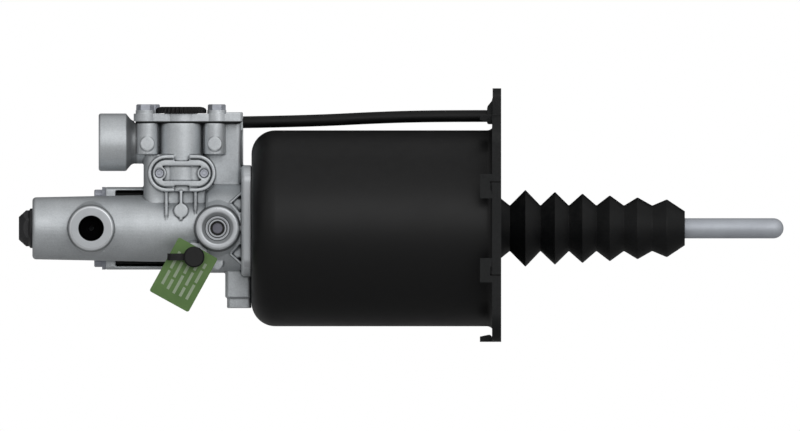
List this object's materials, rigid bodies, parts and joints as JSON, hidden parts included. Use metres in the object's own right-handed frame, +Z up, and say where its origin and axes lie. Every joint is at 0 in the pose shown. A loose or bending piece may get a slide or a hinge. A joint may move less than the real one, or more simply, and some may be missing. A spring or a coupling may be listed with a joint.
{
  "type": "clutch servo",
  "caption": "Truck clutch servo: cast hydraulic and relay valve housing, drawn air cylinder with square flange, clip-on cover, vent hose, bellows boot and push rod.",
  "frame": {"origin": "on the push rod's axis, in the outer face of the end cover, at the centre of the four mounting holes", "axes": "+X out along the push rod, +Z up towards the valve body, -Y towards the side with the ports"},
  "size_m": [0.4168, 0.1238, 0.1382],
  "materials": {
    "cast_aluminium": "fine cast grain, satin",
    "black_shell": "black coating, satin",
    "black_plastic": "moulded, matte",
    "black_rubber": "matte",
    "rod_steel": "fine turned, satin",
    "zinc_steel": "zinc plated, satin",
    "plain_steel": "turned",
    "spring_steel": "oiled wire",
    "bronze": "turned",
    "green_plastic": "thin sheet, matte",
    "gasket_paper": "pressed sheet",
    "filter_mesh": "fine wire mesh"
  },
  "bodies": {
    "housing": {"valve_housing": "cast_aluminium", "valve_cover": "cast_aluminium", "cover_gasket": "gasket_paper", "cover_bolts": "zinc_steel", "exhaust_cap": "black_plastic", "exhaust_filter": "filter_mesh", "nose_plug": "black_plastic", "nose_plug_seal": "black_rubber", "seat_pins": "plain_steel", "test_port_sleeve": "zinc_steel", "test_port_seal": "black_rubber", "test_port_spring": "spring_steel", "bleeder_screw": "zinc_steel", "bleeder_cap": "black_rubber", "fluid_tag": "green_plastic", "sensor_body": "black_plastic", "sensor_end_plate": "cast_aluminium", "sensor_screws": "zinc_steel", "relay_spring": "spring_steel", "valve_seat": "bronze", "poppet_spring": "spring_steel", "inlet_strainer": "filter_mesh", "plunger_seal": "black_rubber", "plunger_bush": "bronze", "seal_retainer": "plain_steel", "cylinder_seal": "black_rubber", "cylinder_screws": "zinc_steel", "air_cylinder": "black_shell", "preload_spring": "spring_steel", "end_cover": "black_plastic", "boot": "black_rubber", "vent_hose": "black_rubber", "hose_nipple": "bronze"},
    "rod": {"push_rod": "rod_steel", "plunger": "rod_steel", "air_piston": "cast_aluminium", "piston_seal": "black_rubber", "piston_guide_ring": "black_plastic", "piston_nut": "zinc_steel"},
    "relay": {"relay_piston": "plain_steel", "relay_seal": "black_rubber"},
    "poppet": {"poppet": "plain_steel"},
    "test_pin": {"test_port_pin": "plain_steel"}
  },
  "joints": [
    {"name": "rod_slide", "type": "slide", "parent": "housing", "child": "rod", "axis": [1, 0, 0], "range_m": [-0.065, 0], "stiffness_N_per_m": 300, "springref_m": 0.06, "deforming": ["boot", "preload_spring"]},
    {"name": "relay_slide", "type": "slide", "parent": "housing", "child": "relay", "axis": [0, 0, 1], "range_m": [0, 0.0025], "stiffness_N_per_m": 800, "springref_m": -0.005, "deforming": ["relay_spring"]},
    {"name": "poppet_slide", "type": "slide", "parent": "housing", "child": "poppet", "axis": [0, 0, 1], "range_m": [0, 0.0015], "stiffness_N_per_m": 600, "springref_m": -0.008, "deforming": ["poppet_spring"]},
    {"name": "test_pin_slide", "type": "slide", "parent": "housing", "child": "test_pin", "axis": [0, 1, 0], "range_m": [0, 0.002], "stiffness_N_per_m": 1000, "springref_m": -0.002, "deforming": ["test_port_spring"]}
  ],
  "couplings": [
    {"joint": "poppet_slide", "follows": "relay_slide", "ratio": 0.6}
  ]
}
